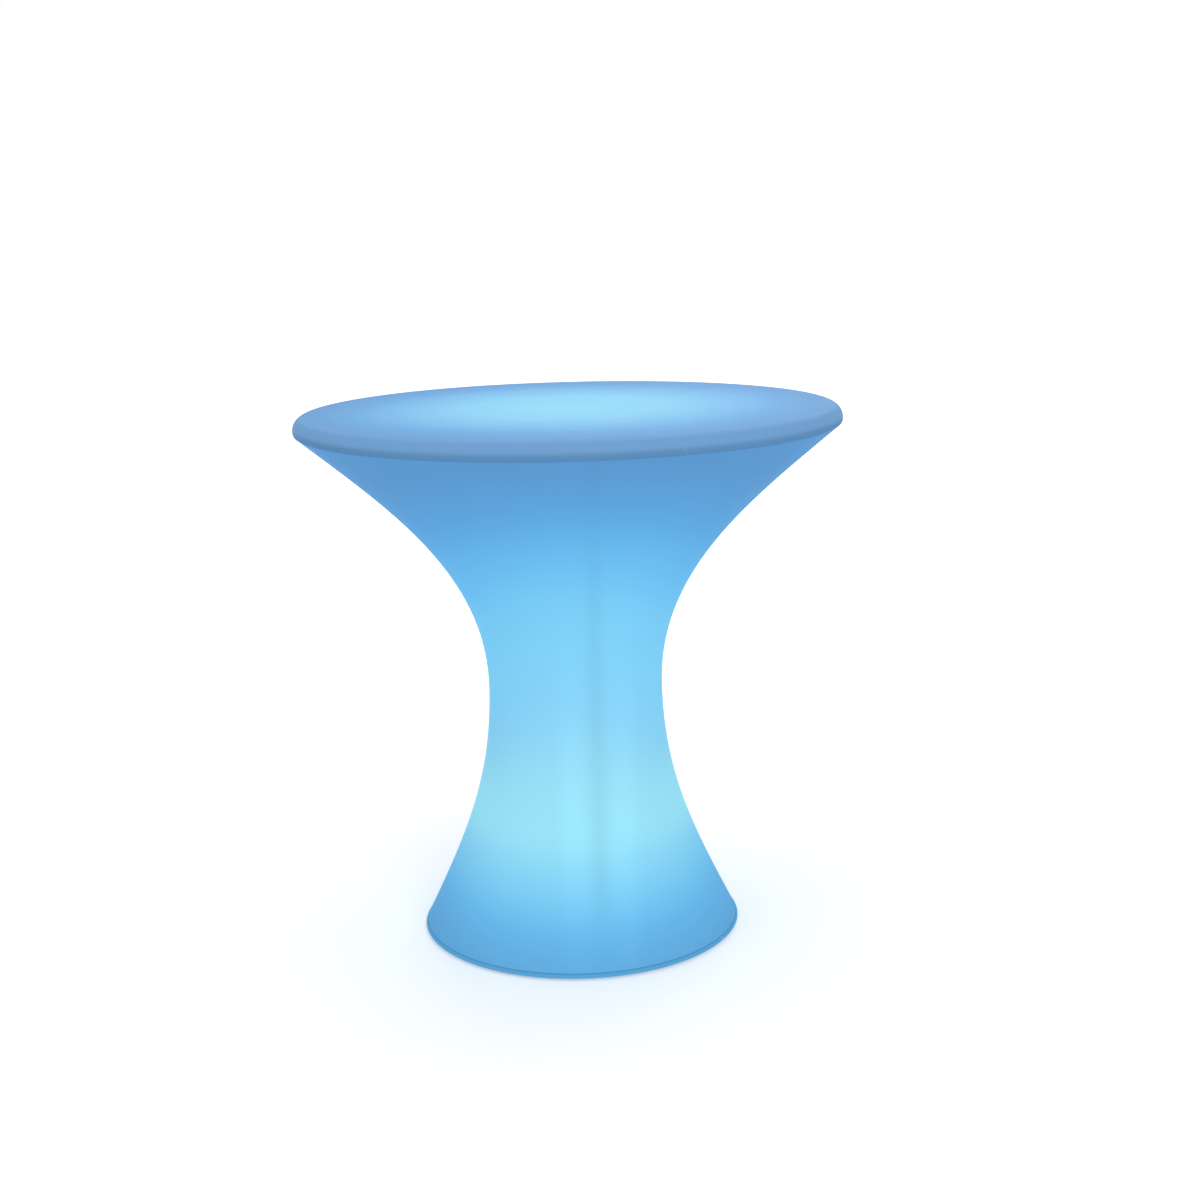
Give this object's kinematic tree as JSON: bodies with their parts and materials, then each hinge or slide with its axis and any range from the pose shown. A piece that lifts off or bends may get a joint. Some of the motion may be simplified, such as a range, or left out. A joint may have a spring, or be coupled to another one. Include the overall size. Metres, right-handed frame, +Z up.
{
  "type": "light up led table",
  "caption": "Hourglass cocktail table moulded in translucent plastic, lit from inside by a rechargeable LED lamp unit in its base.",
  "frame": {"origin": "centre of the base, on the floor", "axes": "+Z up along the table's axis of revolution, front towards -Y"},
  "size_m": [0.764, 0.764, 0.76],
  "materials": {
    "lit_body": "translucent polyethylene lit blue from inside, fine orange-peel",
    "lit_top": "translucent polyethylene lit blue from below, satin",
    "white_moulding": "satin white moulding",
    "grey_moulding": "fine matt texture",
    "black_moulding": "satin",
    "frosted_dome": "frosted, translucent",
    "rubber": "matt",
    "silicone": "satin",
    "steel": "zinc plated",
    "painted_steel": "powder coat",
    "aluminium": "machined",
    "circuit_board": "solder mask",
    "white_board": "white solder mask",
    "cell_sleeve": "shrink sleeve",
    "strap_webbing": "woven webbing",
    "lead_sheath": "satin sheath"
  },
  "bodies": {
    "root": {"body_shell": "lit_body", "tabletop": "lit_top", "base_plate": "white_moulding", "lamp_tray": "grey_moulding", "battery_holder": "black_moulding", "button_switch": "black_moulding", "charge_socket": "black_moulding", "remote_receiver": "black_moulding", "diffuser_dome": "frosted_dome", "status_lens": "frosted_dome", "dome_seal": "rubber", "tray_gasket": "rubber", "rubber_foot_1": "rubber", "rubber_foot_2": "rubber", "rubber_foot_3": "rubber", "rubber_foot_4": "rubber", "rubber_foot_5": "rubber", "rubber_foot_6": "rubber", "top_seal": "silicone", "thermal_pad": "silicone", "cap_hinge_pin": "steel", "socket_pin": "steel", "tabletop_screw_1": "steel", "tabletop_screw_2": "steel", "tabletop_screw_3": "steel", "tabletop_screw_4": "steel", "tabletop_screw_5": "steel", "tabletop_screw_6": "steel", "base_screw_1": "steel", "base_screw_2": "steel", "base_screw_3": "steel", "base_screw_4": "steel", "base_screw_5": "steel", "base_screw_6": "steel", "ballast_bolt_1": "steel", "ballast_bolt_2": "steel", "ballast_bolt_3": "steel", "ballast_bolt_4": "steel", "tray_screw_1": "steel", "tray_screw_2": "steel", "tray_screw_3": "steel", "tray_screw_4": "steel", "dome_screw_1": "steel", "dome_screw_2": "steel", "dome_screw_3": "steel", "dome_screw_4": "steel", "ballast_ring": "painted_steel", "heat_sink": "aluminium", "control_board": "circuit_board", "led_board": "white_board", "battery_cell_1": "cell_sleeve", "battery_cell_2": "cell_sleeve", "battery_cell_3": "cell_sleeve", "battery_strap": "strap_webbing", "battery_lead": "lead_sheath", "led_lead": "lead_sheath"},
    "push_button": {"power_button": "silicone", "switch_plunger": "white_moulding"},
    "socket_cap": {"charge_cap": "rubber"}
  },
  "joints": [
    {"name": "power_button_press", "type": "slide", "parent": "root", "child": "push_button", "axis": [0, 0, 1], "range_m": [0, 0.0015], "stiffness_N_per_m": 400, "springref_m": -0.001},
    {"name": "charge_cap_swing", "type": "hinge", "parent": "root", "child": "socket_cap", "pos_m": [0.0287, 0.00592, 0.019], "axis": [-1, 0, 0], "range_deg": [0, 110]}
  ]
}
